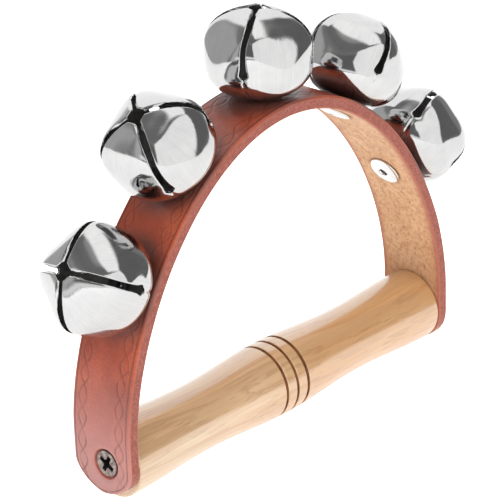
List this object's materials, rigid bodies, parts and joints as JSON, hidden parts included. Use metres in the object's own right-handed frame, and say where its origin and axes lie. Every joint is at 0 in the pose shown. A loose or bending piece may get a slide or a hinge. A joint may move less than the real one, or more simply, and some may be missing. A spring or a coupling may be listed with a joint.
{
  "type": "hand-held sleigh bells",
  "caption": "Turned wooden grip under a leather arch that carries riveted four-leaf jingle bells, each with a loose steel pellet.",
  "frame": {"origin": "middle of the wooden grip, on its turning axis", "axes": "+X along the grip, +Y through the hand opening, +Z from the grip up to the crown of the arch"},
  "size_m": [0.1728, 0.0341, 0.1334],
  "materials": {
    "leather": "glazed chestnut face, dyed edges, raw tan suede inside",
    "lacquered_wood": "clear lacquer over pale maple",
    "nickel_plate": "bright nickel plate on pressed steel",
    "rivet_steel": "bright zinc plate",
    "mandrel_steel": "dull broken steel",
    "pellet_steel": "plain steel ball",
    "screw_steel": "antique bronze over steel"
  },
  "bodies": {
    "root": {"leather_strap": "leather", "wooden_grip": "lacquered_wood", "foot_screw_left": "screw_steel", "foot_screw_right": "screw_steel", "rivet_body_1": "rivet_steel", "rivet_body_2": "rivet_steel", "rivet_body_3": "rivet_steel", "rivet_body_4": "rivet_steel", "rivet_body_5": "rivet_steel", "rivet_mandrel_1": "mandrel_steel", "rivet_mandrel_2": "mandrel_steel", "rivet_mandrel_3": "mandrel_steel", "rivet_mandrel_4": "mandrel_steel", "rivet_mandrel_5": "mandrel_steel"},
    "bell_1": {"bell_shell_1": "nickel_plate"},
    "loose_pellet_1": {"pellet_1": "pellet_steel"},
    "bell_2": {"bell_shell_2": "nickel_plate"},
    "loose_pellet_2": {"pellet_2": "pellet_steel"},
    "bell_3": {"bell_shell_3": "nickel_plate"},
    "loose_pellet_3": {"pellet_3": "pellet_steel"},
    "bell_4": {"bell_shell_4": "nickel_plate"},
    "loose_pellet_4": {"pellet_4": "pellet_steel"},
    "bell_5": {"bell_shell_5": "nickel_plate"},
    "loose_pellet_5": {"pellet_5": "pellet_steel"}
  },
  "joints": [
    {"name": "bell_1_swivel", "type": "hinge", "parent": "root", "child": "bell_1", "pos_m": [-0.06029, 0, 0.05349], "axis": [-0.8691, 0, 0.4946], "continuous": true},
    {"name": "pellet_1_rattle", "type": "slide", "parent": "root", "child": "loose_pellet_1", "axis": [0, 0, 1], "range_m": [0, 0.0205]},
    {"name": "bell_2_swivel", "type": "hinge", "parent": "root", "child": "bell_2", "pos_m": [-0.03576, 0.0005, 0.08195], "axis": [-0.594, 0, 0.8045], "continuous": true},
    {"name": "pellet_2_rattle", "type": "slide", "parent": "root", "child": "loose_pellet_2", "axis": [0, 0, 1], "range_m": [0, 0.018]},
    {"name": "bell_3_swivel", "type": "hinge", "parent": "root", "child": "bell_3", "pos_m": [0.00064, 0.0015, 0.0944], "axis": [0.0088, 0, 1], "continuous": true},
    {"name": "pellet_3_rattle", "type": "slide", "parent": "root", "child": "loose_pellet_3", "axis": [0, 0, 1], "range_m": [0, 0.012]},
    {"name": "bell_4_swivel", "type": "hinge", "parent": "root", "child": "bell_4", "pos_m": [0.03526, 0.0003, 0.08232], "axis": [0.5871, 0, 0.8095], "continuous": true},
    {"name": "pellet_4_rattle", "type": "slide", "parent": "root", "child": "loose_pellet_4", "axis": [0, 0, 1], "range_m": [0, 0.018]},
    {"name": "bell_5_swivel", "type": "hinge", "parent": "root", "child": "bell_5", "pos_m": [0.06029, 0.0003, 0.05349], "axis": [0.8691, 0, 0.4946], "continuous": true},
    {"name": "pellet_5_rattle", "type": "slide", "parent": "root", "child": "loose_pellet_5", "axis": [0, 0, 1], "range_m": [0, 0.0205]}
  ]
}
